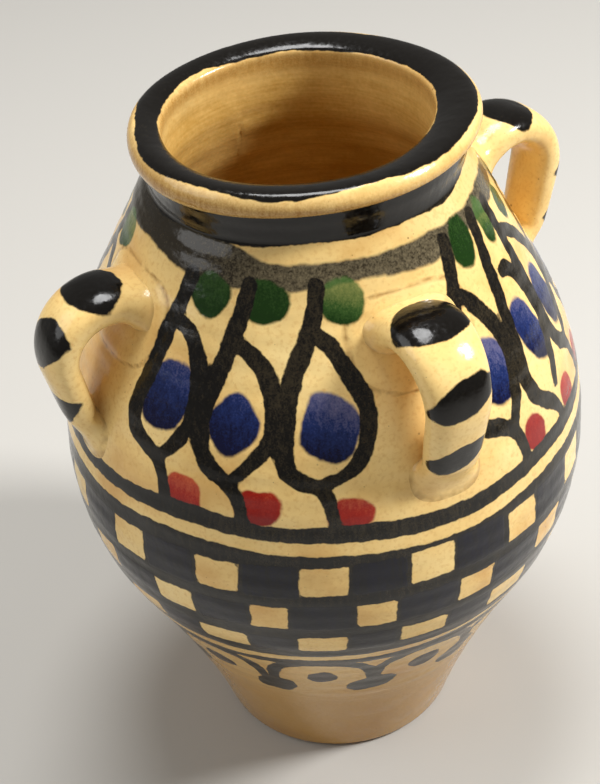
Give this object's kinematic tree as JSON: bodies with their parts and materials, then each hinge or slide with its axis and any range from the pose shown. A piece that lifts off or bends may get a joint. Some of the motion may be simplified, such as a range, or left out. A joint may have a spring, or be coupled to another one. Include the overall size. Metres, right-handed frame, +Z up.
{
  "type": "strap-handled earthenware jar",
  "caption": "Wheel-thrown glazed earthenware jar with a round belly, short neck, flat overhanging rim and strap handles luted from shoulder to belly, painted with checks and looped stems.",
  "frame": {"origin": "centre of the foot's flat underside", "axes": "+Z up along the throwing axis, -Y towards the front handle, +X towards the right handle"},
  "size_m": [0.1316, 0.1316, 0.165],
  "materials": {
    "painted_vessel_glaze": "clear gloss glaze over cream slip with painted bands, checks and looped stems",
    "painted_handle_glaze": "clear gloss glaze over cream slip with black dabs",
    "clay_pad_glaze": "clear gloss glaze over cream slip"
  },
  "bodies": {
    "root": {"vessel_body": "painted_vessel_glaze", "handle_front": "painted_handle_glaze", "front_upper_pad": "clay_pad_glaze", "front_lower_pad": "clay_pad_glaze", "handle_right": "painted_handle_glaze", "right_upper_pad": "clay_pad_glaze", "right_lower_pad": "clay_pad_glaze", "handle_back": "painted_handle_glaze", "back_upper_pad": "clay_pad_glaze", "back_lower_pad": "clay_pad_glaze", "handle_left": "painted_handle_glaze", "left_upper_pad": "clay_pad_glaze", "left_lower_pad": "clay_pad_glaze"}
  },
  "joints": []
}
